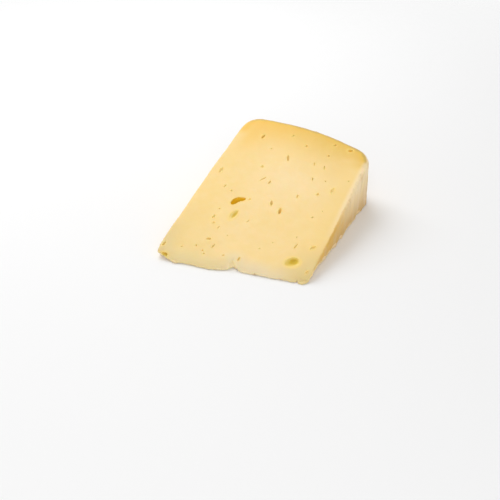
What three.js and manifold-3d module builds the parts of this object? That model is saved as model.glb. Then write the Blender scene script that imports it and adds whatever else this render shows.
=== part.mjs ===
// A hand-cut wedge from a wheel of kashar cheese, lying on one of its two cut faces.
// Millimetres, +Z up. X runs across the wheel from one flat face to the other, the thin tip
// points to -Y and the rind is at +Y. The origin is under the middle of the wedge's box.

import * as THREE from 'three';
import { mergeVertices } from 'three/addons/utils/BufferGeometryUtils.js';
import Module from 'manifold-3d';

// The wheel that the wedge was cut from
const WHEEL_HEIGHT = 112.5; // between the wheel's two flat faces
const FLAT_BOW = 0.8; // how far a flat face swells between tip and rind
const RIND_ALONG = 161.3; // from the tip's line to the rind, half way across the wheel
const RIND_LEAN = -0.135; // change of that length for each millimetre across
const RIND_BARREL = 8.5; // how far the rind bulges between the flat faces
const RIND_CORNER = 12.5; // radius where the rind turns into a flat face

// The two knife cuts, which meet on a line in front of the tip
const CUT_ANGLE = THREE.MathUtils.degToRad(16.1); // between the lower and the upper cut
const CUT_LINE_LEFT = -24; // where that line passes the left flat face
const CUT_LINE_RIGHT = -5; // where it passes the right flat face
const CUT_EDGE_ROUND = 1.2; // soft edge all round each cut

// The ragged tip, from left to right as [across, along]: a broken corner, a wavering edge
// with a notch near its middle, and a nick before the right corner
const TIP = [
  [-56.2, 3], [-55, -2.4], [-48, -5], [-40, -6.6], [-35, -4.4], [-14, -3.9], [-5, -0.8],
  [-1.2, 2], [0.3, 6.5], [4, 4], [9, 2.6], [27, 3.5], [47.2, 6], [48.2, 7.4], [49, 5.9],
  [53, 6], [55.4, 9.5], [56.2, 15],
];
const TIP_WORN_LENGTH = 9; // how far back from its edge the tip is worn round
const TIP_WORN_SHARE = 0.65; // share of its height that the edge has lost
const TIP_WORN_REACH = [-9, -6, -3, 0, 3, 6, 9]; // the wear follows the edge's mean over these steps across
const TIP_WORN_FROM = -56; // the wear begins here, at the broken corner,
const TIP_WORN_FULL = -38; // and is full from here to the right

// Eyes in the upper cut, with the direction of their length in degrees from the X axis
const EYES = [
  { across: -22.6, along: 62.6, length: 8.6, width: 5.0, depth: 3.6, turn: 62 },
  { across: -19.6, along: 66.4, length: 7.6, width: 4.2, depth: 3.2, turn: 36 },
  { across: -18.8, along: 49.6, length: 9.3, width: 4.7, depth: 1.8, turn: 86 },
  { across: 38.8, along: 20.4, length: 9.8, width: 8.6, depth: 2.6, turn: 24 },
  { across: -34.0, along: 138.7, length: 5.4, width: 2.0, depth: 2.2, turn: 88 },
  { across: -5.3, along: 121.5, length: 8.0, width: 1.9, depth: 2.4, turn: 111 },
  { across: 25.4, along: 119.7, length: 5.1, width: 1.5, depth: 1.6, turn: 108 },
  { across: 40.6, along: 97.7, length: 5.6, width: 1.8, depth: 1.6, turn: 97 },
  { across: 31.7, along: 89.7, length: 2.8, width: 2.2, depth: 2.2, turn: 90 },
  { across: 18.2, along: 82.9, length: 4.2, width: 1.4, depth: 1.6, turn: 104 },
  { across: -14.3, along: 91.2, length: 6.6, width: 1.4, depth: 1.2, turn: 59 },
  { across: -7.8, along: 90.7, length: 4.0, width: 1.8, depth: 1.8, turn: 90 },
  { across: -48.9, along: 90.2, length: 6.1, width: 2.2, depth: 1.2, turn: 91 },
  { across: 2.7, along: 69.7, length: 6.3, width: 1.8, depth: 2.2, turn: 109 },
  { across: 11.8, along: 64.4, length: 6.9, width: 2.1, depth: 2.8, turn: 102 },
  { across: -31.7, along: 42.4, length: 4.3, width: 1.5, depth: 1.6, turn: 83 },
  { across: -25.8, along: 20.8, length: 3.4, width: 2.1, depth: 1.8, turn: 28 },
  { across: -19.0, along: 14.8, length: 4.3, width: 1.5, depth: 1.6, turn: 84 },
  { across: 3.5, along: 10.4, length: 3.7, width: 1.6, depth: 1.6, turn: 89 },
  { across: 47.8, along: 38.2, length: 4.6, width: 1.9, depth: 1.6, turn: 49 },
];
const EYE_ROUND_SEGMENTS = 12;
const EYE_HEIGHT_SEGMENTS = 8;

// Crumbs broken off the lower edge, at the tip's left corner and along the right flat face
const CHIPS = [
  { across: -60, along: -7, width: 36, length: 18, height: 6.4 },
  { across: 57, along: 62, width: 5.6, length: 12, height: 5.2 },
  { across: 57, along: 109, width: 5.6, length: 7, height: 5.4 },
  { across: 58, along: 87, width: 5.0, length: 46, height: 4.0 },
];

// How finely the outline and the sweep from cut to cut are drawn
const FLAT_STEPS = 8;
const RIND_STEPS = 32;
const SWEEP_STEPS = 10;
const EDGE_STEPS = 3;
const TIP_MESH_LENGTH = 3;
const TIP_MESH_TOLERANCE = 0.03;

const PASTE_COLOUR = '#f8dc9c';
const PASTE_ROUGHNESS = 0.55;

const HALF = WHEEL_HEIGHT / 2;
const CUT_LINE_START = new THREE.Vector3(-HALF, CUT_LINE_LEFT, 0);
const CUT_LINE = new THREE.Vector3(WHEEL_HEIGHT, CUT_LINE_RIGHT - CUT_LINE_LEFT, 0).normalize();

const wasm = await Module();
wasm.setup();

// Outline of a cut face, drawn on the lower cut

function rindAlong(across) {
  const intoCorner = Math.max(Math.abs(across) - (HALF - RIND_CORNER), 0);
  const cornerDrop = RIND_CORNER - Math.sqrt(Math.max(RIND_CORNER ** 2 - intoCorner ** 2, 0));
  const barrelDrop = RIND_BARREL * (across / HALF) ** 2;
  return RIND_ALONG + RIND_LEAN * across - barrelDrop - cornerDrop;
}

function flatPoints(side, from, to) {
  const points = [];
  for (let step = 1; step < FLAT_STEPS; step += 1) {
    const share = step / FLAT_STEPS;
    const across = side * (HALF + FLAT_BOW * Math.sin(Math.PI * share));
    points.push(new THREE.Vector2(across, THREE.MathUtils.lerp(from, to, share)));
  }
  return points;
}

function rindPoints() {
  const points = [];
  for (let step = 0; step <= RIND_STEPS; step += 1) {
    const across = HALF * Math.cos((Math.PI * step) / RIND_STEPS);
    points.push(new THREE.Vector2(across, rindAlong(across)));
  }
  return points;
}

function cutOutline() {
  const tip = TIP.map(([across, along]) => new THREE.Vector2(across, along));
  const rightFlat = flatPoints(1, tip.at(-1).y, rindAlong(HALF));
  const leftFlat = flatPoints(-1, rindAlong(-HALF), tip[0].y);
  return new THREE.Shape([...tip, ...rightFlat, ...rindPoints(), ...leftFlat]);
}

// Turn a point about the line where the two cuts meet, by a share of the cut angle

function turnAboutCutLine(point, share) {
  return point.sub(CUT_LINE_START).applyAxisAngle(CUT_LINE, CUT_ANGLE * share).add(CUT_LINE_START);
}

// The outline swept from the lower cut to the upper one. The extrusion has unit depth between
// its two rounded edges, and those keep their size in millimetres beside each cut.

function sweptWedge() {
  const geometry = new THREE.ExtrudeGeometry(cutOutline(), {
    depth: 1,
    steps: SWEEP_STEPS,
    bevelThickness: CUT_EDGE_ROUND,
    bevelSize: CUT_EDGE_ROUND,
    bevelOffset: -CUT_EDGE_ROUND,
    bevelSegments: EDGE_STEPS,
  });
  const places = geometry.getAttribute('position');
  const point = new THREE.Vector3();
  for (let index = 0; index < places.count; index += 1) {
    point.fromBufferAttribute(places, index);
    const share = THREE.MathUtils.clamp(point.z, 0, 1);
    const outside = point.z - share;
    point.z = CUT_EDGE_ROUND * (1 - 2 * share) + outside;
    turnAboutCutLine(point, share);
    places.setXYZ(index, point.x, point.y, point.z);
  }
  return geometry;
}

// The wedge with its tip worn down to a thin round nose

function tipAlong(across) {
  const inside = THREE.MathUtils.clamp(across, TIP[0][0], TIP.at(-1)[0] - 0.01);
  const next = TIP.findIndex((point) => point[0] > inside);
  const [[left, leftAlong], [right, rightAlong]] = [TIP[next - 1], TIP[next]];
  return THREE.MathUtils.lerp(leftAlong, rightAlong, (inside - left) / (right - left));
}

function wornAlong(across) {
  const around = TIP_WORN_REACH.map((step) => tipAlong(across + step));
  return around.reduce((sum, along) => sum + along, 0) / around.length;
}

function wornAtTip(solid) {
  const worn = solid.refineToLength(TIP_MESH_LENGTH).warp((point) => {
    const fromEdge = (point[1] - wornAlong(point[0])) / TIP_WORN_LENGTH;
    const toward = 1 - THREE.MathUtils.clamp(fromEdge, 0, 1);
    const share = TIP_WORN_SHARE * THREE.MathUtils.smoothstep(point[0], TIP_WORN_FROM, TIP_WORN_FULL);
    point[2] *= 1 - share * (1 - Math.sqrt(1 - toward ** 2));
  });
  return worn.simplify(TIP_MESH_TOLERANCE);
}

// A hollow with the given full sizes and turn about +Z, centred on a place

function hollow(length, width, height, turn, place) {
  const geometry = new THREE.SphereGeometry(0.5, EYE_ROUND_SEGMENTS, EYE_HEIGHT_SEGMENTS);
  geometry.scale(length, width, height);
  geometry.rotateZ(THREE.MathUtils.degToRad(turn));
  geometry.translate(place.x, place.y, place.z);
  return geometry;
}

function eyeHollow({ across, along, length, width, depth, turn }) {
  const geometry = hollow(length, width, 2 * depth, turn, new THREE.Vector3(across, along, 0));
  const places = geometry.getAttribute('position');
  const point = new THREE.Vector3();
  for (let index = 0; index < places.count; index += 1) {
    turnAboutCutLine(point.fromBufferAttribute(places, index), 1);
    places.setXYZ(index, point.x, point.y, point.z);
  }
  return geometry;
}

function chipHollow({ across, along, width, length, height }) {
  return hollow(width, length, height, 0, new THREE.Vector3(across, along, 0));
}

// Closed meshes as solids, and back

function solidFrom(geometry) {
  geometry.deleteAttribute('normal');
  geometry.deleteAttribute('uv');
  const merged = mergeVertices(geometry);
  return new wasm.Manifold(new wasm.Mesh({
    numProp: 3,
    vertProperties: Float32Array.from(merged.getAttribute('position').array),
    triVerts: Uint32Array.from(merged.getIndex().array),
  }));
}

function geometryFrom(solid) {
  const mesh = solid.getMesh();
  const geometry = new THREE.BufferGeometry();
  geometry.setAttribute('position', new THREE.BufferAttribute(mesh.vertProperties, 3));
  geometry.setIndex(new THREE.BufferAttribute(mesh.triVerts, 1));
  geometry.computeVertexNormals();
  return geometry;
}

const hollows = [...EYES.map(eyeHollow), ...CHIPS.map(chipHollow)];
const uncut = wornAtTip(solidFrom(sweptWedge()));
const paste = hollows.reduce((solid, cut) => solid.subtract(solidFrom(cut)), uncut);

const wedgeGeometry = geometryFrom(paste);
wedgeGeometry.computeBoundingBox();
const middle = wedgeGeometry.boundingBox.getCenter(new THREE.Vector3());
wedgeGeometry.translate(-middle.x, -middle.y, -wedgeGeometry.boundingBox.min.z);

const wedge = new THREE.Mesh(
  wedgeGeometry,
  new THREE.MeshStandardMaterial({ color: PASTE_COLOUR, roughness: PASTE_ROUGHNESS, metalness: 0 }),
);
wedge.name = 'cheese_wedge';

const kashar = new THREE.Group();
kashar.add(wedge);

export default kashar;
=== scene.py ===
"""Looks of a hand-cut wedge of kashar cheese, lying on its lower cut with the tip towards the viewer."""

import math
import random
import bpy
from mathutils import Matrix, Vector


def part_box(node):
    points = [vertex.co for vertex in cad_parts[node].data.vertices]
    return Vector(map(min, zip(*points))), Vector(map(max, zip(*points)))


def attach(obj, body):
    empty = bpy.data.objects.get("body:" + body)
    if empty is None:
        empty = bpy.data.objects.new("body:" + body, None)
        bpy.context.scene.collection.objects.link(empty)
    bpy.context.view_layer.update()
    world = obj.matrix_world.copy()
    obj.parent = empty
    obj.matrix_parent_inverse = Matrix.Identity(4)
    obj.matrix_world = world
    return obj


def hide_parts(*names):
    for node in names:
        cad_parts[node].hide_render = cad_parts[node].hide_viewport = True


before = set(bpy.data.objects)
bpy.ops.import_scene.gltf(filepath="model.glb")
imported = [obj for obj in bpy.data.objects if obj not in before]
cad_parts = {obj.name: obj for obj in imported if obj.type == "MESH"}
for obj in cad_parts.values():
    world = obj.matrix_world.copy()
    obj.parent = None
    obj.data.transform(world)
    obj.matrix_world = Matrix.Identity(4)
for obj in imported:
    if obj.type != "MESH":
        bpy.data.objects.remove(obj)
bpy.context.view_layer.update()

from types import SimpleNamespace

import bpy
import numpy as np
from mathutils import Matrix, Vector, noise

NODE = "cheese_wedge"
MM = 0.001

# The wheel that the wedge was cut from, in millimetres
HALF = 56.25  # half of the wheel's height, from its middle to a flat face
FLAT_BOW = 0.8  # swell of a flat face between tip and rind
RIND_ALONG = 161.3  # from the tip's line to the rind, half way across
RIND_LEAN = -0.135  # change of that length for each millimetre across
RIND_BARREL = 8.5  # bulge of the rind between the flat faces
RIND_CORNER = 12.5  # radius where the rind turns into a flat face

# The two knife cuts, which meet on a line in front of the tip
CUT_ANGLE = math.radians(16.1)
CUT_LINE_LEFT = -24.0  # where that line passes the left flat face
CUT_LINE_RIGHT = -5.0  # where it passes the right flat face

# The ragged tip, from left to right as (across, along)
TIP = [
    (-56.2, 3), (-55, -2.4), (-48, -4), (-42.6, -5), (-40, -6.6), (-35, -3.9), (-14, -3.3), (-5, -0.4),
    (-1.2, 2), (0.3, 6.5), (4, 4), (9, 2.6), (16, 3), (23, 4.2), (31, 4.3), (37, 5.6), (47.2, 6),
    (48.2, 7.4), (49, 5.9), (53, 6), (55.4, 9.5), (56.2, 15),
]
TIP_WORN_LENGTH = 9.0  # how far back from its edge the tip is worn round
TIP_WORN_SHARE = 0.65  # share of its height that the edge has lost
TIP_WORN_REACH = (-9, -6, -3, 0, 3, 6, 9)  # the wear follows the edge's mean over these steps across
TIP_WORN_FROM = -56  # the wear begins here, at the broken corner,
TIP_WORN_FULL = -38  # and is full from here to the right
NOTCH_ACROSS = 0.8  # the notch in the tip
NOTCH_WIDTHS = (0.5, 4.5)  # its edge is worn inside the first of these and untouched outside the second
NOTCH_WORN_LENGTH = 2.5
NOTCH_WORN_SHARE = 0.55
NOTCH_PAINTED_LIGHT_REACH = 4.5  # how far behind its edge the paste is painted paler: painted light on the notch's shaded walls, and paler fresh broken paste

# How finely the outline and the sweep between the cuts are drawn
FLAT_STEPS = 8
RIND_STEPS = 32
SWEEP_STEPS = 12

# Roundness of the edges of the cuts, in millimetres
SOFT_EDGE = 3.2  # of the upper cut's right side, next to the rind
SOFT_TIP = 1.0  # of the upper cut at the tip and on the left
SOFT_RIND = 3.6  # where the upper cut meets the rind
SOFT_BELOW = 1.2  # round the lower cut
SOFT_STEPS = 6
SOFT_REACH = 0.028  # reach of the right flat face's skin over that edge, for each millimetre from the tip
SKIN_TUCK = 0.8  # how far below the edges of the upper cut the skin of a flat face ends at the tip
RIM_SKIN = 1.6  # how far the rind's skin reaches over the rim of the upper cut,
CORNER_SKIN = 0.6  # and how far at the rim's ends
TUCK_FADE = (0.8, 2.2)  # the skin is tucked less and less at these depths below the cut
EDGE_SKIN_END = (2, 12)  # the skin over the right edge ends here, going towards the rind
RIM_ENDS = (38, 50)  # the rim's ends begin and are full this far from the middle
SKIN_GRAIN = 0.86  # spacing of the skin's points
SHADE_ANGLE = math.radians(40)  # edges sharper than this stay sharp

# Eyes of the upper cut: across, along, length, width, depth, turn in degrees, flare
# With flare 0 an eye has upright walls, and with a higher flare it is a wider dish
EYES = [
    (-23.9, 62.6, 8.6, 5.6, 3.4, 76, 0.0),
    (-22.0, 65.0, 6.4, 5.4, 3.0, 50, 0.0),
    (-20.3, 65.9, 7.4, 4.4, 2.4, 24, 0.1),
    (-18.6, 48.6, 11.4, 4.9, 0.6, 84, 0.7),
    (-18.2, 49.0, 10.4, 3.6, 1.1, 84, 0.45),
    (39.6, 20.1, 11.2, 9.4, 1.4, 24, 0.75),
    (39.8, 20.5, 7.8, 6.8, 2.2, 24, 0.45),
    (-48.6, 90.2, 6.4, 2.5, 1.0, 91, 0.5),
    (40.7, 97.0, 6.4, 2.4, 1.0, 92, 0.4),
    (48.0, 37.6, 5.2, 2.6, 1.1, 55, 0.4),
    (37.8, 145.0, 4.0, 3.2, 1.4, 15, 0.3),
    (-48.8, -3.1, 5.2, 3.2, 2.2, -4, 0.35),
]
# Slits of the upper cut: across, along, length, width, turn in degrees
SLITS = [
    (-34.0, 138.8, 5.6, 2.4, 88), (-4.9, 120.6, 8.0, 1.8, 111), (25.7, 119.3, 5.1, 1.1, 108),
    (17.0, 120.8, 4.3, 1.1, 105), (21.8, 104.5, 4.2, 1.1, 108), (18.2, 82.8, 4.2, 1.5, 104),
    (-14.0, 92.0, 6.6, 1.2, 59), (-7.7, 90.3, 4.0, 1.6, 90), (2.8, 69.5, 6.3, 2.0, 109),
    (11.8, 63.9, 6.9, 2.4, 102), (-38.0, 75.2, 3.5, 1.2, 83), (-31.7, 42.2, 4.3, 1.5, 83),
    (-23.5, 33.2, 3.5, 1.0, 71), (-6.0, 46.4, 3.6, 0.9, 73), (-25.0, 20.3, 3.6, 2.0, 28),
    (-19.0, 15.0, 4.3, 1.5, 84), (3.5, 10.0, 3.7, 1.8, 89), (36.2, 35.0, 5.7, 1.2, 81),
    (52.3, 15.2, 3.8, 1.6, 81), (-53.4, 4.8, 4.2, 2.0, 80),
]
SLIT_DEPTH = 1.1  # share of its width
SLIT_FLARE = 0.25
# Pinholes of the upper cut: across, along, width
PINHOLES = [
    (31.6, 89.8, 2.0), (-20.2, 105.2, 2.1), (3.2, 139.0, 1.8), (23.9, 133.4, 1.8), (24.4, 147.4, 2.2),
    (-31.3, 72.1, 1.6), (-14.3, 67.9, 1.8), (-29.1, 36.4, 1.7), (-30.4, 11.2, 1.4), (-40.0, 6.8, 1.3),
    (-22.1, 5.9, 1.5), (-24.2, 8.4, 1.4), (-8.2, 9.4, 1.3), (-31.3, 51.1, 1.3), (48.3, 111.0, 1.3),
    (-21.9, 127.3, 1.5), (-11.5, 147.6, 1.8), (32.0, 105.2, 1.0), (36.8, 65.8, 1.6), (41.4, 74.0, 0.9),
    (33.5, 43.1, 1.2), (13.1, 24.1, 1.1), (-13.7, 27.8, 0.9), (19.4, 32.6, 1.0),
]
PINHOLE_LENGTH = 1.25  # share of its width
PINHOLE_DEPTH = 0.75
PINHOLE_TURN = 90
PINHOLE_FLARE = 0.3
HOLLOW_SEGMENTS = 18  # faces round the ball that every cutter is shaped from,
HOLLOW_RINGS = 10  # and from pole to pole
LUMP_GRAIN = 3.0  # how many lumps pass across a cutter
EYE_LUMPS = 0.16  # how uneven the eyes are
SLIVER = 0.03  # edges shorter than this are merged after the cuts
EYE_PASSES = 3  # most hollows of one eye
EYE_LEAN = 1.5  # how far a dished eye leans towards the rind, for each part of flare
EYE_HALO = 2.4  # reach of the yellow round a wide eye,
HALO_WIDTH = 3.0  # which is one at least this wide
EYE_FADE = (0.5, 2.0)  # beyond an eye's edge its colour fades out over these distances
DEEP_WIDTHS = (1.6, 4.0)  # over this range of widths an eye's inside is painted golden, or olive, as painted shade and painted interreflection
OLIVE_FLARE = 0.3  # eyes with more flare than this are olive
TINY = 1e-6  # keeps a division from being by nothing

# Eyes of the lower cut, which are drawn at random
HIDDEN_EYES = 30
EYE_SEED = 7
EYE_GAP = 5.0  # least distance between two of them
EYE_MARGIN = 6.0  # least distance from one of them to the outline
HIDDEN_LENGTHS = (2.0, 6.5)
HIDDEN_WIDTHS = (0.35, 0.6)  # share of the length
HIDDEN_DEPTHS = (0.5, 0.8)  # share of the width
HIDDEN_FLARES = (0, 0.4)
HIDDEN_TURN = (95, 18)  # mean and spread, in degrees

# The lower right edge, which has crumbled off: along, and how far the edge lies inside the flat face
TORN = [
    (0, -2.0), (7, 1.4), (12, 2.3), (20, 2.8), (34, 2.9), (40, 2.4), (56, 2.7), (62, 1.7), (68, 3.0),
    (77, 1.3), (91, 2.7), (99, 1.5), (105, 1.6), (108, 3.0), (112, 4.2), (114, 2.4), (118, 1.4), (128, 0.2),
    (140, -2.0),
]
TORN_SLOPE = 1.9  # rise of the crumbled face for each millimetre outward
TORN_ROUGH = 0.7  # how far it stands out or in
TORN_GRAIN = 5.0  # size of its largest lumps,
TORN_FRACTAL = (1.0, 2.0, 4)  # and how lumps of four sizes are added up
TORN_FADE = (-0.9, -0.1)  # the broken look begins and is full here, going outward through the crumbled face
TORN_HEIGHT = 14.0  # of the cutter, which reaches as far outward,
TORN_BELOW = 3.0  # and this far below the lower cut
TORN_STEP = 1.0  # spacing of its points
# Crumbs broken off the lower edge elsewhere: across, along, width, length, height
CHIPS = [(-60, -7, 36, 18, 6.4)]
# Nicks with a sharp edge, in the same order
NICKS = [
    (-40.4, -7.4, 3.0, 5.0, 9.0), (18.7, 2.4, 2.6, 5.0, 9.0), (38, 3.6, 3.4, 4.6, 9.0),
    (48.3, 6, 2.0, 4.6, 9.0),
]
CHIP_LUMPS = 0.45  # how uneven chips and nicks are
CHIP_MARGIN = 0.4  # how far beyond a chip the paste still looks broken
CHIP_FADE = (0.9, 1.3)  # that look fades out over this share of the chip's size

# Relief of the skin: grain and height in millimetres, and how many finer grains are added
KNIFE_WAVES = (22, 0.7, 1)  # of the upper cut
KNIFE_GRAIN = (5, 0.16, 2)
SKIN_WAVES = (26, 1.0, 1)  # of the rind and the flat faces
RIND_GRAIN = (3.4, 0.7, 3)
FLAT_GRAIN = (4.5, 0.25, 2)
TIP_CRUMBS = (3.0, 0.8, 2)
EDGE_CRUMBS = (2.6, 0.9, 2)  # of the lower edge
# Distances over which that relief fades out, going away from the skin it belongs to
UPPER_FADE = (0.3, 1.2)
RIND_FADE = (0.8, 2.5)
FLAT_FADE = (0.8, 2.0)
TIP_FADE = (1.0, 3.0)
EDGE_FADE = (1.5, 5.0)
EDGE_HEIGHTS = (2.0, 6.0)
GRAIN_MARGIN = (2, 5)  # the knife's grain begins and is full this far from the outline
LEAST_WEIGHT = 0.01  # points with less than this share of the relief are left alone

# Camera at the photograph's viewing angle
VIEW_AZIMUTH = math.radians(24.77)
VIEW_ELEVATION = math.radians(31.12)
VIEW_DISTANCE = 0.6
VIEW_TARGET = (1.2, 33.0)  # across and along of the floor's point in the middle of the picture
VIEW_LENS = 59.57

TIP_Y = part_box(NODE)[0].y - min(along for _, along in TIP) * MM
CUT_LINE_START = Vector((-HALF * MM, TIP_Y + CUT_LINE_LEFT * MM, 0))
CUT_LINE = Vector((2 * HALF, CUT_LINE_RIGHT - CUT_LINE_LEFT, 0)).normalized()
FROM_CUT_LINE = Vector((-CUT_LINE.y, CUT_LINE.x, 0))
UPPER_CUT = (
    Matrix.Translation(CUT_LINE_START)
    @ Matrix.Rotation(CUT_ANGLE, 4, CUT_LINE)
    @ Matrix.Translation(-CUT_LINE_START)
)


# Places on the wheel


def on_lower_cut(across, along):
    return Vector((across * MM, TIP_Y + along * MM, 0))


def wheel_places(points):
    """Where points lie on the wheel: places folded down on the lower cut, share of the cut angle, depth."""
    beside = points - np.array(CUT_LINE_START)
    out = beside @ np.array(FROM_CUT_LINE)
    reach = np.hypot(out, beside[:, 2])
    angle = np.arctan2(beside[:, 2], out)
    line = np.outer(beside @ np.array(CUT_LINE), np.array(CUT_LINE))
    folded = np.array(CUT_LINE_START) + line + np.outer(reach, np.array(FROM_CUT_LINE))
    places = (folded[:, :2] - (0, TIP_Y)) / MM
    return places, angle / CUT_ANGLE, reach * np.sin(CUT_ANGLE - angle) / MM


def rind_along(across):
    into_corner = np.clip(np.abs(across) - (HALF - RIND_CORNER), 0, RIND_CORNER)
    corner_drop = RIND_CORNER - np.sqrt(RIND_CORNER**2 - into_corner**2)
    return RIND_ALONG + RIND_LEAN * across - RIND_BARREL * (across / HALF) ** 2 - corner_drop


def rind_path():
    turns = [math.pi * step / RIND_STEPS for step in range(RIND_STEPS + 1)]
    return [(HALF * math.cos(turn), rind_along(HALF * math.cos(turn))) for turn in turns]


def flat_path(side):
    """A flat face's edge, from the tip to the rind."""
    start = TIP[-1 if side > 0 else 0][1]
    end = rind_along(HALF) if side > 0 else rind_along(-HALF)
    shares = [step / FLAT_STEPS for step in range(FLAT_STEPS + 1)]
    return [(side * (HALF + FLAT_BOW * math.sin(math.pi * s)), start + (end - start) * s) for s in shares]


def cut_outline():
    return TIP + flat_path(1)[1:-1] + rind_path() + flat_path(-1)[-2:0:-1]


def distance_to(path, places):
    """Distance in millimetres from each place to the nearest stretch of a path."""
    nearest = np.full(len(places), np.inf)
    for start, end in zip(np.array(path), np.array(path[1:])):
        stretch = end - start
        share = np.clip((places - start) @ stretch / (stretch @ stretch), 0, 1)
        nearest = np.minimum(nearest, np.linalg.norm(places - start - np.outer(share, stretch), axis=1))
    return nearest


def smooth(value, start, end):
    """0 before start, 1 after end, with a soft step between."""
    share = np.clip((value - start) / (end - start), 0, 1)
    return share * share * (3 - 2 * share)


# Modelling steps


def select_only(piece):
    bpy.ops.object.select_all(action="DESELECT")
    bpy.context.view_layer.objects.active = piece
    piece.select_set(True)


def apply_modifier(piece, kind, **settings):
    select_only(piece)
    modifier = piece.modifiers.new(kind.lower(), kind)
    for name, value in settings.items():
        setattr(modifier, name, value)
    bpy.ops.object.modifier_apply(modifier=modifier.name)


def points_of(piece):
    points = np.empty(len(piece.data.vertices) * 3)
    piece.data.vertices.foreach_get("co", points)
    return points.reshape(-1, 3)


def move_points(piece, points):
    piece.data.vertices.foreach_set("co", points.ravel())
    piece.data.update()


def trace(name, points):
    """A filled outline, traced corner by corner from a plane shrunk to its first point."""
    bpy.ops.object.select_all(action="DESELECT")
    bpy.ops.mesh.primitive_plane_add(size=MM, location=points[0], enter_editmode=True)
    bpy.ops.mesh.merge(type="CENTER")
    for here, there in zip(points, points[1:]):
        bpy.ops.mesh.extrude_vertices_move(TRANSFORM_OT_translate={"value": there - here})
    bpy.ops.mesh.select_all(action="SELECT")
    bpy.ops.mesh.edge_face_add()
    bpy.ops.object.mode_set(mode="OBJECT")
    bpy.ops.object.transform_apply()
    bpy.context.object.name = name
    return bpy.context.object


def spin_between_cuts(piece):
    """Sweeps the outline from the lower cut to the upper one, about the line where they meet."""
    select_only(piece)
    bpy.ops.object.mode_set(mode="EDIT")
    bpy.ops.mesh.select_all(action="SELECT")
    bpy.ops.mesh.spin(steps=SWEEP_STEPS, angle=-CUT_ANGLE, center=CUT_LINE_START, axis=CUT_LINE)
    bpy.ops.mesh.select_all(action="SELECT")
    bpy.ops.mesh.remove_doubles()
    bpy.ops.mesh.normals_make_consistent(inside=False)
    bpy.ops.object.mode_set(mode="OBJECT")


def soften_cut_edges(piece):
    """Rounds the edges of both cuts, more towards the rind than at the tip."""
    places, share, _ = wheel_places(points_of(piece))
    upper = share > 0.5
    towards_rind = np.where(places[:, 0] > 0, np.clip(places[:, 1] / RIND_ALONG, 0, 1), 0)
    size = np.where(upper, SOFT_TIP + (SOFT_EDGE - SOFT_TIP) * towards_rind, SOFT_BELOW)
    near_rind = 1 - smooth(rind_along(places[:, 0]) - places[:, 1], 0, RIND_CORNER)
    size = np.where(upper, size + (SOFT_RIND - size) * near_rind, size)
    on_cut = np.minimum(np.abs(share), np.abs(share - 1)) < 0.5 / SWEEP_STEPS
    widest = max(SOFT_EDGE, SOFT_RIND)
    weights = piece.data.attributes.new("bevel_weight_edge", "FLOAT", "EDGE")
    for edge in piece.data.edges:
        a, b = edge.vertices
        if on_cut[a] and on_cut[b] and upper[a] == upper[b]:
            weights.data[edge.index].value = (size[a] + size[b]) / 2 / widest
    settings = {"limit_method": "WEIGHT", "use_clamp_overlap": False}
    apply_modifier(piece, "BEVEL", width=widest * MM, segments=SOFT_STEPS, **settings)


# Eyes and chips


def model_hollow():
    """A ball one millimetre wide, the model of every cutter."""
    bpy.ops.object.select_all(action="DESELECT")
    bpy.ops.mesh.primitive_uv_sphere_add(segments=HOLLOW_SEGMENTS, ring_count=HOLLOW_RINGS, radius=MM / 2)
    bpy.context.object.name = "hollow"
    return bpy.context.object


def copy_hollow(model, length, width, height, turn, lumps, seed):
    """A lumpy cutter at the origin, with its full sizes in millimetres. A long one has pointed ends."""
    pointed = 2 * min(max(length / width / 2 - 1, 0), 1)
    cutter = model.copy()
    cutter.data = model.data.copy()
    bpy.context.collection.objects.link(cutter)
    points = points_of(cutter)
    for index, (x, y, z) in enumerate(points / MM):
        lump = 1 + lumps * noise.noise(Vector((x, y, z)) * LUMP_GRAIN + Vector((seed, 0, 0)))
        points[index] = np.array((x, y * (1 - pointed * x * x), z)) * lump
    move_points(cutter, points * (length * MM, width * MM, height * MM))
    cutter.data.transform(Matrix.Rotation(math.radians(turn), 4, "Z"))
    return cutter


def eye_cutter(model, cut, across, along, length, width, depth, turn, flare):
    """A hollow in the upper or the lower cut. A dished one has its middle above the cut."""
    wider = 1 / math.sqrt(1 - flare**2)
    reach = depth / (1 - flare)
    outward = 1 if cut == "upper" else -1
    lean = Matrix.Identity(4)
    lean[1][2] = -outward * EYE_LEAN * flare
    cutter = copy_hollow(model, length * wider, width * wider, 2 * reach, turn, EYE_LUMPS, across + along)
    cutter.data.transform(lean @ Matrix.Translation((0, 0, outward * flare * reach * MM)))
    cutter.data.transform(Matrix.Translation(on_lower_cut(across, along)))
    if cut == "upper":
        cutter.data.transform(UPPER_CUT)
        wear_tip(cutter)
    return cutter


def upper_eyes():
    """All eyes of the upper cut, each with its seven values."""
    eyes = list(EYES)
    for across, along, length, width, turn in SLITS:
        eyes.append((across, along, length, width, SLIT_DEPTH * width, turn, SLIT_FLARE))
    for across, along, width in PINHOLES:
        length = PINHOLE_LENGTH * width
        eyes.append((across, along, length, width, PINHOLE_DEPTH * width, PINHOLE_TURN, PINHOLE_FLARE))
    return eyes


def hidden_eyes():
    """Eyes of the lower cut at random places, most of them long from tip to rind."""
    draw = random.Random(EYE_SEED)
    outline = cut_outline()
    eyes = []
    while len(eyes) < HIDDEN_EYES:
        across = draw.uniform(-HALF, HALF)
        along = draw.uniform(EYE_MARGIN, RIND_ALONG)
        if along > rind_along(across) or distance_to(outline, np.array([(across, along)]))[0] < EYE_MARGIN:
            continue
        if any(math.hypot(across - eye[0], along - eye[1]) < EYE_GAP + eye[2] / 2 for eye in eyes):
            continue
        length = draw.uniform(*HIDDEN_LENGTHS)
        width = length * draw.uniform(*HIDDEN_WIDTHS)
        turn = draw.gauss(*HIDDEN_TURN)
        depth = width * draw.uniform(*HIDDEN_DEPTHS)
        flare = draw.uniform(*HIDDEN_FLARES)
        eyes.append((across, along, length, width, depth, turn, flare))
    return eyes


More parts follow.
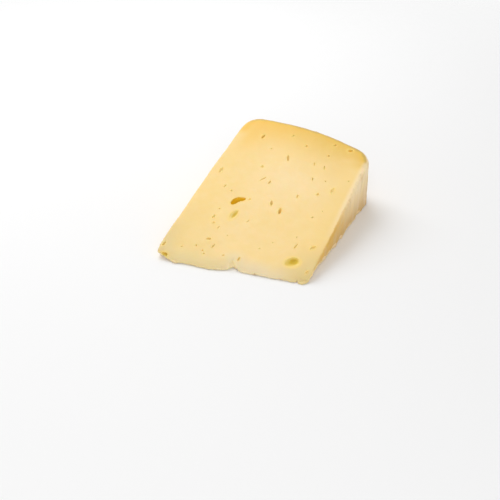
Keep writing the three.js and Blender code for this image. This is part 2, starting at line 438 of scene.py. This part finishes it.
def join(pieces):
    bpy.ops.object.select_all(action="DESELECT")
    for piece in pieces:
        piece.select_set(True)
    bpy.context.view_layer.objects.active = pieces[0]
    bpy.ops.object.join()
    return bpy.context.object


def cut_away(piece, cutters):
    """Cuts with all the cutters at once. The walls keep the cutters' material."""
    cutter = join(cutters)
    settings = {"operation": "DIFFERENCE", "solver": "MANIFOLD", "material_mode": "TRANSFER"}
    apply_modifier(piece, "BOOLEAN", object=cutter, **settings)
    bpy.data.objects.remove(cutter)


def break_off(piece, model, chips):
    """Breaks chips or nicks off the lower edge."""
    cutters = []
    for across, along, width, length, height in chips:
        cutter = copy_hollow(model, width, length, height, 0, CHIP_LUMPS, across + along)
        cutter.data.transform(Matrix.Translation(on_lower_cut(across, along)))
        cutters.append(cutter)
    cut_away(piece, cutters)


def torn_face(along, height):
    """How far across the crumbled face lies at each place along the lower right edge and each height."""
    edge = np.interp(along, *np.transpose(flat_path(1))[::-1])
    inset = np.interp(along, *np.transpose(TORN))
    spots = [Vector((0, *place)) / TORN_GRAIN for place in zip(along, height)]
    lumps = np.array([noise.fractal(spot, *TORN_FRACTAL) for spot in spots])
    return edge - inset + height / TORN_SLOPE + TORN_ROUGH * lumps


def crumble(piece):
    """Cuts the lower right edge off with a slab that has the crumbled face on its inner side."""
    bpy.ops.object.select_all(action="DESELECT")
    first, last = TORN[0][0], TORN[-1][0]
    steps = (round((last - first) / TORN_STEP), round(TORN_HEIGHT / TORN_STEP))
    bpy.ops.mesh.primitive_grid_add(x_subdivisions=steps[0], y_subdivisions=steps[1], size=1)
    slab = bpy.context.object
    shares = points_of(slab) + 0.5
    along = first + (last - first) * shares[:, 0]
    height = TORN_HEIGHT * shares[:, 1] - TORN_BELOW
    inner = np.column_stack((torn_face(along, height), along, height)) * MM
    move_points(slab, inner + np.array(on_lower_cut(0, 0)))
    bpy.ops.object.mode_set(mode="EDIT")
    bpy.ops.mesh.select_all(action="SELECT")
    bpy.ops.mesh.extrude_region_move(TRANSFORM_OT_translate={"value": (TORN_HEIGHT * MM, 0, 0)})
    bpy.ops.mesh.select_all(action="SELECT")
    bpy.ops.mesh.normals_make_consistent(inside=False)
    bpy.ops.object.mode_set(mode="OBJECT")
    cut_away(piece, [slab])


def open_eyes(piece, model, wall):
    """Cuts the eyes, whose walls get that material. Hollows of one eye overlap, so each has its pass."""
    cutters = [eye_cutter(model, "upper", *eye) for eye in upper_eyes()]
    cutters += [eye_cutter(model, "lower", *eye) for eye in hidden_eyes()]
    for cutter in cutters:
        cutter.data.materials.append(wall)
    for first in range(EYE_PASSES):
        cut_away(piece, cutters[first::EYE_PASSES])


def clean_slivers(piece):
    """Merges the slivers that the cuts leave and splits every face into triangles."""
    select_only(piece)
    bpy.ops.object.mode_set(mode="EDIT")
    bpy.ops.mesh.select_all(action="SELECT")
    bpy.ops.mesh.dissolve_degenerate(threshold=SLIVER * MM)
    bpy.ops.mesh.quads_convert_to_tris(quad_method="BEAUTY", ngon_method="BEAUTY")
    bpy.ops.object.mode_set(mode="OBJECT")


# Relief of the skin


def height_left(points):
    """Share of its height that each point keeps when the tip is worn round."""
    across = points[:, 0] / MM
    along = (points[:, 1] - TIP_Y) / MM
    edge = np.mean([np.interp(across + step, *np.transpose(TIP)) for step in TIP_WORN_REACH], axis=0)
    toward = 1 - np.clip((along - edge) / TIP_WORN_LENGTH, 0, 1)
    left = 1 - TIP_WORN_SHARE * smooth(across, TIP_WORN_FROM, TIP_WORN_FULL) * (1 - np.sqrt(1 - toward**2))
    toward = 1 - np.clip((along - np.interp(across, *np.transpose(TIP))) / NOTCH_WORN_LENGTH, 0, 1)
    at_notch = 1 - smooth(np.abs(across - NOTCH_ACROSS), *NOTCH_WIDTHS)
    return left * (1 - NOTCH_WORN_SHARE * at_notch * (1 - np.sqrt(1 - toward**2)))


def wear_tip(piece):
    points = points_of(piece)
    points[:, 2] *= height_left(points)
    move_points(piece, points)


def roughen(piece, where, grain, height, finer):
    """Raises and lowers the skin by up to half of height, as far as the weights of where reach."""
    group = piece.vertex_groups.new(name="where")
    for index in np.flatnonzero(where > LEAST_WEIGHT):
        group.add([int(index)], float(where[index]), "REPLACE")
    texture = bpy.data.textures.new("clouds", "CLOUDS")
    texture.noise_scale = grain * MM
    texture.noise_depth = finer
    settings = {"texture": texture, "texture_coords": "LOCAL", "vertex_group": "where"}
    apply_modifier(piece, "DISPLACE", strength=height * MM, **settings)
    piece.vertex_groups.clear()
    bpy.data.textures.remove(texture)


def relieve(piece):
    """Knife waves in the upper cut, crumbly tip and lower edge, and uneven skin on rind and flat faces."""
    points = points_of(piece)
    places, _, depth = wheel_places(points)
    from_tip = distance_to(TIP, places)
    from_rind = distance_to(rind_path(), places)
    from_flat = np.minimum(distance_to(flat_path(1), places), distance_to(flat_path(-1), places))
    from_outline = np.minimum(np.minimum(from_tip, from_rind), from_flat)
    upper = 1 - smooth(depth, *UPPER_FADE)
    rind = 1 - smooth(from_rind, *RIND_FADE)
    flats = 1 - smooth(from_flat, *FLAT_FADE)
    tip = 1 - smooth(from_tip, *TIP_FADE)
    lower_edge = (1 - smooth(from_outline, *EDGE_FADE)) * (1 - smooth(points[:, 2] / MM, *EDGE_HEIGHTS))
    roughen(piece, upper, *KNIFE_WAVES)
    roughen(piece, upper * smooth(from_outline, *GRAIN_MARGIN), *KNIFE_GRAIN)
    roughen(piece, np.maximum(rind, flats), *SKIN_WAVES)
    roughen(piece, rind, *RIND_GRAIN)
    roughen(piece, flats * (1 - rind), *FLAT_GRAIN)
    roughen(piece, tip, *TIP_CRUMBS)
    roughen(piece, lower_edge, *EDGE_CRUMBS)
    points = points_of(piece)
    points[:, 2] = np.maximum(points[:, 2], 0)
    move_points(piece, points)


def eye_marks(places, eyes):
    """How near each place is to an eye, and how much golden or olive painted shade that eye's inside gets,
    each from 0 to 1.
    """
    halo = np.zeros(len(places))
    golden = np.zeros(len(places))
    olive = np.zeros(len(places))
    for across, along, length, width, _, turn, flare in eyes:
        turned = Matrix.Rotation(math.radians(turn), 2)
        beside = (places - (across, along)) @ np.array(turned)
        widths_away = np.linalg.norm(beside / (length / 2, width / 2), axis=1) + TINY
        outside = np.linalg.norm(beside, axis=1) * (1 - 1 / widths_away)
        share = min(1, width / HALO_WIDTH)
        halo = np.maximum(halo, share * (1 - smooth(outside, 0, EYE_HALO * share)))
        inside = (1 - smooth(outside, *EYE_FADE)) * smooth(width, *DEEP_WIDTHS)
        if flare > OLIVE_FLARE:
            olive = np.maximum(olive, inside)
        else:
            golden = np.maximum(golden, inside)
    return halo, golden, olive


def broken_places(places, heights):
    """1 where the lower edge has crumbled off, and 0 beyond."""
    outward = places[:, 0] - torn_face(places[:, 1], heights)
    broken = smooth(outward, *TORN_FADE)
    for across, along, width, length, height in CHIPS + NICKS:
        beside = (places - (across, along)) / (width / 2 + CHIP_MARGIN, length / 2 + CHIP_MARGIN)
        inside = np.sum(beside**2, axis=1) + (heights / (height / 2 + CHIP_MARGIN)) ** 2
        broken = np.maximum(broken, 1 - smooth(inside, *CHIP_FADE))
    return broken


def notch_painted_light_places(places):
    """1 in the middle of the notch's edge, and 0 beyond: where paler paste is painted as light on the
    notch's shaded walls.
    """
    beside = np.abs(places[:, 0] - NOTCH_ACROSS)
    behind = places[:, 1] - np.interp(places[:, 0], *np.transpose(TIP))
    return (1 - smooth(beside, *NOTCH_WIDTHS)) * (1 - smooth(behind, 0, NOTCH_PAINTED_LIGHT_REACH))


def mark_places(piece):
    """Keeps, at each point, how far it lies from rind, flat faces and tip, and what was cut there."""
    points = points_of(piece)
    points[:, 2] /= height_left(points)
    places, share, depth = wheel_places(points)
    heights = points[:, 2] / MM
    in_eye = np.zeros(len(points))
    for face in piece.data.polygons:
        if face.material_index > 0:
            in_eye[list(face.vertices)] = 1
    upper = share > 0.5
    from_rind = distance_to(rind_path(), places)
    from_tip = distance_to(TIP, places)
    from_left = distance_to(flat_path(-1), places)
    from_right = distance_to(flat_path(1), places)
    from_middle = np.abs(places[:, 0])
    tuck = SKIN_TUCK * (1 - smooth(depth, *TUCK_FADE))
    over_edge = SOFT_REACH * from_tip * smooth(from_rind, *EDGE_SKIN_END) - tuck
    over_rim = RIM_SKIN + (CORNER_SKIN - RIM_SKIN) * smooth(from_middle, *RIM_ENDS)
    from_flat = np.minimum(from_left + tuck, from_right - over_edge)
    upper_halo, upper_golden, upper_olive = eye_marks(places, upper_eyes())
    lower_halo, lower_golden, lower_olive = eye_marks(places, hidden_eyes())
    near_cut = np.where(upper, depth, heights) < EYE_HALO
    marks = {
        "from_rind": from_rind,
        "from_tip": from_tip,
        "from_left": from_left,
        "from_right": from_right,
        "from_side": np.minimum(from_flat, from_rind - over_rim),
        "from_middle": from_middle,
        "lift": share,
        "eye_depth": in_eye * np.clip(np.where(upper, depth, heights), 0, None),
        "eye_halo": np.where(upper, upper_halo, lower_halo) * near_cut,
        "eye_golden": np.where(upper, upper_golden, lower_golden),
        "eye_olive": np.where(upper, upper_olive, lower_olive),
        "broken": broken_places(places, heights),
        # at_notch carries painted light: paler paste on the notch's shaded walls
        "at_notch": notch_painted_light_places(places),
    }
    for name, values in marks.items():
        mark = piece.data.attributes.new(name, "FLOAT", "POINT")
        mark.data.foreach_set("value", values.astype(np.float32))
    piece.data.polygons.foreach_set("material_index", np.zeros(len(piece.data.polygons), dtype=np.int32))
    piece.data.materials.clear()


# Finish


class Wire:
    """An output socket of a material's nodes. Arithmetic on it adds Math nodes."""

    def __init__(self, tree, socket=None):
        self.tree = tree
        self.socket = socket

    def node(self, kind, settings=None, values=None, output=0):
        """Adds a node of that type, with its settings first and then its sockets' values or links."""
        made = self.tree.nodes.new(kind)
        for name, setting in (settings or {}).items():
            setattr(made, name, setting)
        for name, value in (values or {}).items():
            if isinstance(value, Wire):
                self.tree.links.new(value.socket, made.inputs[name])
            else:
                made.inputs[name].default_value = value
        return Wire(self.tree, made.outputs[output])

    def math(self, operation, *values):
        return self.node("ShaderNodeMath", {"operation": operation}, dict(enumerate(values)))

    def __add__(self, other):
        return self.math("ADD", self, other)

    def __sub__(self, other):
        return self.math("SUBTRACT", self, other)

    def __rsub__(self, other):
        return self.math("SUBTRACT", other, self)

    def __mul__(self, other):
        return self.math("MULTIPLY", self, other)

    __radd__ = __add__
    __rmul__ = __mul__

    def step(self, start, end):
        """A soft step from 0 at start to 1 at end."""
        values = {"Value": self, "From Min": start, "From Max": end}
        return self.node("ShaderNodeMapRange", {"interpolation_type": "SMOOTHSTEP"}, values)

    def blend(self, low, high):
        """The colour low where this mask is 0 and high where it is 1."""
        return self.node("ShaderNodeMix", {"data_type": "RGBA"}, {0: self, 6: low, 7: high}, output=2)

    def attribute(self, name):
        return self.node("ShaderNodeAttribute", {"attribute_name": name}, output="Fac")

    def clouds(self, place, grain, detail=2.0, roughness=0.5):
        """Noise with features of about that many millimetres."""
        values = {"Vector": place, "Scale": 1 / (grain * MM), "Detail": detail, "Roughness": roughness}
        return self.node("ShaderNodeTexNoise", None, values)


def colour(red, green, blue):
    """A colour on the 0 to 255 scale of a picture as a shader's linear colour."""
    shares = [part / 255 for part in (red, green, blue)]
    linear = [s / 12.92 if s <= 0.04045 else ((s + 0.055) / 1.055) ** 2.4 for s in shares]
    return (*linear, 1.0)


PASTE_PALE = colour(250, 220, 164)
PASTE_WARM = colour(245, 211, 132)
PASTE_AT_TIP_SHADE = colour(235, 213, 156)
PASTE_AT_TIP_PAINTED_LIGHT = colour(239, 218, 176)
PASTE_NOTCH_PAINTED_LIGHT = colour(247, 227, 176)
PASTE_LOW_LEFT_SHADE = colour(233, 204, 130)
PASTE_CORNER_SHADE = colour(226, 200, 134)
PASTE_AT_RIND = colour(244, 194, 76)
PASTE_AT_RIND_DULL = colour(231, 189, 80)
PASTE_AT_RIM = colour(238, 192, 62)
RIM_SHADE_LINE = colour(206, 176, 92)
PASTE_BROKEN = colour(240, 210, 160)
RIND_LIGHT = colour(226, 186, 112)
RIND_DARK = colour(207, 161, 88)
RIND_DUSTY = colour(226, 196, 136)
RIND_PORE = colour(184, 138, 74)
FLAT_PALE = colour(248, 220, 162)
# The right flat face's tan and low colours are darker and warmer than the left face's copies: painted shade
# and painted warm reflection
FLAT_TAN_SHADED = colour(225, 177, 80)
FLAT_LOW_SHADE = colour(198, 145, 60)
LEFT_TAN = colour(234, 198, 122)
LEFT_LOW_SHADE = colour(214, 172, 104)
FLAT_STREAK = colour(217, 188, 132)
FLAT_BLUSH = colour(246, 217, 182)
EDGE_HIGHLIGHT = colour(255, 232, 194)
EYE_HALO_YELLOW = colour(250, 216, 120)
EYE_WALL = colour(248, 227, 162)
# Golden and olive insides of the eyes, deeper with depth: painted shade and painted interreflection
EYE_GOLDEN_SHADE = colour(240, 202, 96)
EYE_GOLDEN_SHADE_MIDDLE = colour(232, 184, 8)
EYE_GOLDEN_SHADE_DEEP = colour(222, 174, 0)
EYE_OLIVE_SHADE = colour(236, 206, 110)
EYE_OLIVE_SHADE_DEEP = colour(218, 184, 58)

STREAK_SCALE = (1.0, 1.0, 0.15)  # the flat faces' streaks run upright
BLUSH_SCALE = (1.0, 1.0, 0.2)
BLUSH_SHIFT = (1, 1, 1)
BUMP_STRENGTH = 0.25
BUMP_HEIGHT = 0.2 * MM
MARKS = (
    "from_rind", "from_tip", "from_left", "from_right", "from_side", "from_middle", "lift",
    "eye_depth", "eye_halo", "eye_golden", "eye_olive", "broken", "at_notch",
)


def read_cheese(wires):
    """What the colours depend on: the marks kept on the piece, the height, and noise of several grains."""
    cheese = SimpleNamespace(**{name: wires.attribute(name) for name in MARKS})
    place = wires.node("ShaderNodeTexCoord", output="Object")
    upright = wires.node("ShaderNodeMapping", None, {"Vector": place, "Scale": STREAK_SCALE})
    shifted = {"Vector": place, "Scale": BLUSH_SCALE, "Location": BLUSH_SHIFT}
    cheese.height = wires.node("ShaderNodeSeparateXYZ", None, {"Vector": place}, output="Z") * (1 / MM)
    cheese.broad = wires.clouds(place, 26)
    cheese.curd = wires.clouds(place, 5, 3.0)
    cheese.fine = wires.clouds(place, 0.9, 3.0, 0.6)
    cheese.streaks = wires.clouds(upright, 5, 3.0)
    cheese.fibres = wires.clouds(upright, 1.3)
    cheese.blush = wires.clouds(wires.node("ShaderNodeMapping", None, shifted), 8)
    return cheese


# Colours of each part of the skin, with the distances of their steps in millimetres


def cut_colour(cheese):
    """The cut faces, pale in the middle, partly paler paste and partly a painted sheen, warmer towards both
    flat faces, and darker low on the left, which is partly warmer paste and partly painted shade.
    """
    mottle = (cheese.broad * 0.6 + cheese.curd * 0.4).step(0.3, 0.7)
    between_flats = cheese.from_left.step(35, 62) * cheese.from_right.step(14, 44)
    # painted sheen: the middle of the cut is painted paler, partly also paler paste
    painted_sheen = between_flats * cheese.from_tip.step(52, 92) * cheese.from_rind.step(34, 66)
    near_left = 1 - (cheese.from_left + cheese.broad * 10).step(10, 54)
    near_right = 1 - (cheese.from_right + cheese.broad * 10).step(6, 34)
    # partly warmer paste and partly painted shade: darker paste low on the left, near the tip
    low_left_shade = (1 - cheese.from_left.step(12, 60)) * (1 - cheese.from_tip.step(10, 64))
    paste = (0.38 + mottle * 0.36 - painted_sheen * 0.4 + near_left * 0.28).blend(PASTE_PALE, PASTE_WARM)
    paste = (near_right * 0.7).blend(paste, PASTE_WARM)
    return (low_left_shade * 0.5).blend(paste, PASTE_LOW_LEFT_SHADE)


def tip_colour(cheese, paste):
    """Greyer paste at the tip, painted shade where the nose turns down, with a paler middle painted as
    light on the worn front; darker paste in its corners, which is painted shade; and paler paste in the
    notch, painted light on its shaded walls and fresh broken paste.
    """
    # painted shade and painted light: the tip is greyer where it turns down, and painted paler in the
    # middle of its worn front
    lit_middle = cheese.from_left.step(40, 70) * cheese.from_right.step(6, 24)
    painted_tip_light_and_shade = lit_middle.blend(PASTE_AT_TIP_SHADE, PASTE_AT_TIP_PAINTED_LIGHT)
    paste = (1 - (cheese.from_tip + cheese.broad * 6).step(3, 18)).blend(paste, painted_tip_light_and_shade)
    # painted shade: the tip's corners are darker and more olive
    corner_shade = 1 - cheese.from_left.math("MINIMUM", cheese.from_left, cheese.from_right * 0.55).step(2, 18)
    paste = (corner_shade * (1 - cheese.from_tip.step(4, 34)) * 0.8).blend(paste, PASTE_CORNER_SHADE)
    # painted light: the notch's shaded walls are painted paler, as fresh broken paste also is
    return cheese.at_notch.blend(paste, PASTE_NOTCH_PAINTED_LIGHT)


def ripe_colour(cheese, paste):
    """Golden paste below the rind, a dull line along the rim that is painted shade of the rounded rim, and
    a painted highlight along the right edge.
    """
    past_corner = (cheese.from_rind - cheese.from_right * 0.8).step(-2, 6)
    right_end = (1 - cheese.from_right.step(6, 28)) * past_corner
    left_end = (1 - cheese.from_left.step(3, 14)) * cheese.from_rind.step(5, 15) * 0.85
    reach = cheese.from_rind * (1 + (1 - cheese.from_right.step(4, 40)) * 0.45)
    golden = 1 - (reach + cheese.curd * 12 + cheese.broad * 10).step(9, 58)
    at_rind = cheese.from_left.step(10, 80).blend(PASTE_AT_RIND, PASTE_AT_RIND_DULL)
    paste = (golden * (1 - right_end) * (1 - left_end)).blend(paste, at_rind)
    below_rim = cheese.from_rind + cheese.curd * 4
    rim = (1 - below_rim.step(5, 11)) * (0.2 + cheese.broad * 0.6) * (1 - right_end)
    paste = rim.blend(paste, PASTE_AT_RIM)
    # painted shade: a dull olive line below the rounded rim
    rim_shade_line = (1 - below_rim.step(4.4, 7.2)) * cheese.from_left.step(2, 14) * 0.9
    paste = rim_shade_line.blend(paste, RIM_SHADE_LINE)
    # painted highlight: a pale band along the rounded right edge of the upper cut
    edge_highlight = (1 - cheese.from_right.step(1.5, 6.5)) * cheese.from_tip.step(16, 90) * 0.8
    return edge_highlight.blend(paste, EDGE_HIGHLIGHT)


def flat_colour(cheese):
    """The flat faces: tan near the tip and darker low down, which is painted shade and, on the right face,
    painted warm reflection; pale above, with a painted highlight at the top; with upright streaks and a
    faint blush.
    """
    on_left = 1 - cheese.from_left.step(10, 40)
    # darker low down: painted shade near the floor
    low = 1 - (cheese.lift + cheese.curd * 0.2).step(0.15, 0.85)
    blush = cheese.blush.step(0.45, 0.7) * cheese.from_tip.step(60, 110)
    # painted highlight: the flat face is paler at its top, next to the rounded edge
    top_highlight = cheese.lift.step(0.7, 0.95) * cheese.from_tip.step(40, 90)
    streaks = cheese.streaks.step(0.45, 0.7) * 0.5 + cheese.fibres.step(0.4, 0.7) * 0.2
    tan = on_left.blend(FLAT_TAN_SHADED, LEFT_TAN)
    flat = (cheese.from_tip + cheese.broad * 20).step(50, 110).blend(tan, FLAT_PALE)
    flat = (low * 0.7).blend(flat, on_left.blend(FLAT_LOW_SHADE, LEFT_LOW_SHADE))
    flat = (blush * 0.6).blend(flat, FLAT_BLUSH)
    flat = (top_highlight * 0.6).blend(flat, EDGE_HIGHLIGHT)
    return streaks.blend(flat, FLAT_STREAK)


def rind_colour(cheese):
    """The rind, mottled, dusty and full of pores."""
    mottle = (cheese.broad * 0.6 + cheese.curd * 0.3 + cheese.streaks * 0.1).step(0.35, 0.65)
    dust = (cheese.curd * 0.7 + cheese.fine * 0.3).step(0.45, 0.75)
    rind = mottle.blend(RIND_LIGHT, RIND_DARK)
    rind = (dust * 0.5).blend(rind, RIND_DUSTY)
    return (cheese.fine.step(0.52, 0.66) * 0.45).blend(rind, RIND_PORE)


def broken_colour(cheese, skin):
    """Pale fresh paste where crumbs came off the lower edge."""
    along_foot = cheese.from_tip.step(16, 40) * (1 - cheese.from_tip.step(105, 130))
    torn = (1 - (cheese.height + cheese.curd * 3).step(2.2, 3.6)) * along_foot
    skin = (torn * 0.7).blend(skin, PASTE_BROKEN)
    return (cheese.broken + cheese.curd * 0.9 - 0.45).step(0.3, 0.8).blend(skin, PASTE_BROKEN)


def eye_colour(cheese, skin):
    """The eyes' yellow surroundings and walls, which get deeper in colour with depth: painted shade and
    painted interreflection inside the hollows.
    """
    depth = cheese.eye_depth
    skin = (cheese.eye_halo * 0.6).blend(skin, EYE_HALO_YELLOW)
    skin = depth.step(0.1, 0.5).blend(skin, EYE_WALL)
    skin = (depth.step(0.1, 0.6) * cheese.eye_golden).blend(skin, EYE_GOLDEN_SHADE)
    skin = (depth.step(0.5, 1.5) * cheese.eye_golden).blend(skin, EYE_GOLDEN_SHADE_MIDDLE)
    skin = (depth.step(1.8, 3.2) * cheese.eye_golden).blend(skin, EYE_GOLDEN_SHADE_DEEP)
    skin = (depth.step(0.1, 0.6) * cheese.eye_olive).blend(skin, EYE_OLIVE_SHADE)
    return (depth.step(0.5, 1.6) * cheese.eye_olive).blend(skin, EYE_OLIVE_SHADE_DEEP)


def cheese_finish():
    material = bpy.data.materials.new("kashar_paste_and_rind")
    material.use_nodes = True
    tree = material.node_tree
    shader = tree.nodes["Principled BSDF"]
    wires = Wire(tree)
    cheese = read_cheese(wires)
    fine, curd = cheese.fine, cheese.curd
    flatness = (cheese.from_middle + curd * 4).step(44, 57)
    covered = 1 - (cheese.from_side + fine * 0.6 + curd * 1.4).step(1.3, 2.7)
    paste = ripe_colour(cheese, tip_colour(cheese, cut_colour(cheese)))
    skin = covered.blend(paste, flatness.blend(rind_colour(cheese), flat_colour(cheese)))
    skin = eye_colour(cheese, broken_colour(cheese, skin))
    side_relief = covered * (cheese.fibres * 0.8 - (1 - flatness) * fine * 4)
    relief = fine + cheese.streaks * 0.4 + curd * 1.5 + side_relief
    bump = {"Height": relief, "Strength": BUMP_STRENGTH, "Distance": BUMP_HEIGHT}
    links = {
        "Base Color": skin,
        "Roughness": 0.44 + curd * 0.14 + cheese.eye_depth.step(0.1, 0.6) * 0.2,
        "Normal": wires.node("ShaderNodeBump", None, bump),
    }
    for name, wire in links.items():
        tree.links.new(wire.socket, shader.inputs[name])
    shader.inputs["Subsurface Weight"].default_value = 0.25
    shader.inputs["Subsurface Radius"].default_value = (1.0, 0.6, 0.25)
    shader.inputs["Subsurface Scale"].default_value = 3 * MM
    shader.inputs["Specular IOR Level"].default_value = 0.4
    return material


def make_wedge():
    wedge = trace("kashar_wedge", [on_lower_cut(*point) for point in cut_outline()])
    spin_between_cuts(wedge)
    soften_cut_edges(wedge)
    hollow = model_hollow()
    eye_wall = bpy.data.materials.new("eye_wall")
    apply_modifier(wedge, "REMESH", mode="VOXEL", voxel_size=SKIN_GRAIN * MM)
    break_off(wedge, hollow, CHIPS)
    crumble(wedge)
    apply_modifier(wedge, "REMESH", mode="VOXEL", voxel_size=SKIN_GRAIN * MM)
    relieve(wedge)
    break_off(wedge, hollow, NICKS)
    wear_tip(wedge)
    open_eyes(wedge, hollow, eye_wall)
    clean_slivers(wedge)
    mark_places(wedge)
    bpy.data.objects.remove(hollow)
    bpy.data.materials.remove(eye_wall)
    wedge.data.materials.append(cheese_finish())
    select_only(wedge)
    bpy.ops.object.shade_smooth_by_angle(angle=SHADE_ANGLE)
    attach(wedge, "root")
    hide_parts(NODE)


# Stage, light and camera


STUDIO_WALLS = (0.95, 0.95, 0.95, 1)
STUDIO_CEILING = (0.46, 0.46, 0.46, 1)
WALL_TOP = (0.05, 0.5)  # heights of a unit vector between which the walls turn into the ceiling
FLOOR_SHADE = (0.92, 0.92, 0.92, 1)
FLOOR_SIZE = 8.0
FLOOR_FADE = (0.3, 0.9)  # from here to here, in metres from the middle, the floor fades into the studio


def floor_finish():
    material = bpy.data.materials.new("pale_floor")
    material.use_nodes = True
    tree = material.node_tree
    wires = Wire(tree)
    place = wires.node("ShaderNodeTexCoord", output="Object")
    distance = wires.node("ShaderNodeVectorMath", {"operation": "LENGTH"}, {0: place}, output="Value")
    floor = wires.node("ShaderNodeBsdfPrincipled", None, {"Base Color": FLOOR_SHADE, "Roughness": 0.7})
    nothing = wires.node("ShaderNodeBsdfTransparent")
    faded = wires.node("ShaderNodeMixShader", None, {0: distance.step(*FLOOR_FADE), 1: floor, 2: nothing})
    tree.links.new(faded.socket, tree.nodes["Material Output"].inputs["Surface"])
    return material


def make_floor():
    bpy.ops.object.select_all(action="DESELECT")
    bpy.ops.mesh.primitive_plane_add(size=FLOOR_SIZE)
    floor = bpy.context.object
    floor.name = "floor"
    floor.data.materials.append(floor_finish())


def soft_light(name, place, size, power):
    """A square panel that shines on the wedge."""
    bpy.ops.object.light_add(type="AREA", location=place)
    light = bpy.context.object
    light.name = name
    light.data.size = size
    light.data.energy = power
    light.rotation_euler = Vector(place).to_track_quat("Z", "Y").to_euler()


def make_studio():
    soft_light("overhead_panel", place=(-0.7, 0.5, 0.95), size=1.1, power=10.4)
    soft_light("front_panel", place=(0.5, -1.0, 0.8), size=0.8, power=5.0)
    world = bpy.data.worlds.new("studio")
    world.use_nodes = True
    wires = Wire(world.node_tree)
    direction = wires.node("ShaderNodeTexCoord", output="Generated")
    height = wires.node("ShaderNodeSeparateXYZ", None, {"Vector": direction}, output="Z")
    walls = height.step(*WALL_TOP).blend(STUDIO_WALLS, STUDIO_CEILING)
    world.node_tree.links.new(walls.socket, world.node_tree.nodes["Background"].inputs["Color"])
    bpy.context.scene.world = world
    bpy.context.scene.view_settings.view_transform = "Standard"


def make_camera():
    back = Vector((
        math.sin(VIEW_AZIMUTH) * math.cos(VIEW_ELEVATION),
        -math.cos(VIEW_AZIMUTH) * math.cos(VIEW_ELEVATION),
        math.sin(VIEW_ELEVATION),
    ))
    bpy.ops.object.camera_add(location=on_lower_cut(*VIEW_TARGET) + back * VIEW_DISTANCE)
    camera = bpy.context.object
    camera.rotation_euler = back.to_track_quat("Z", "Y").to_euler()
    camera.data.lens = VIEW_LENS
    bpy.context.scene.camera = camera


make_camera()
make_studio()
make_floor()
make_wedge()
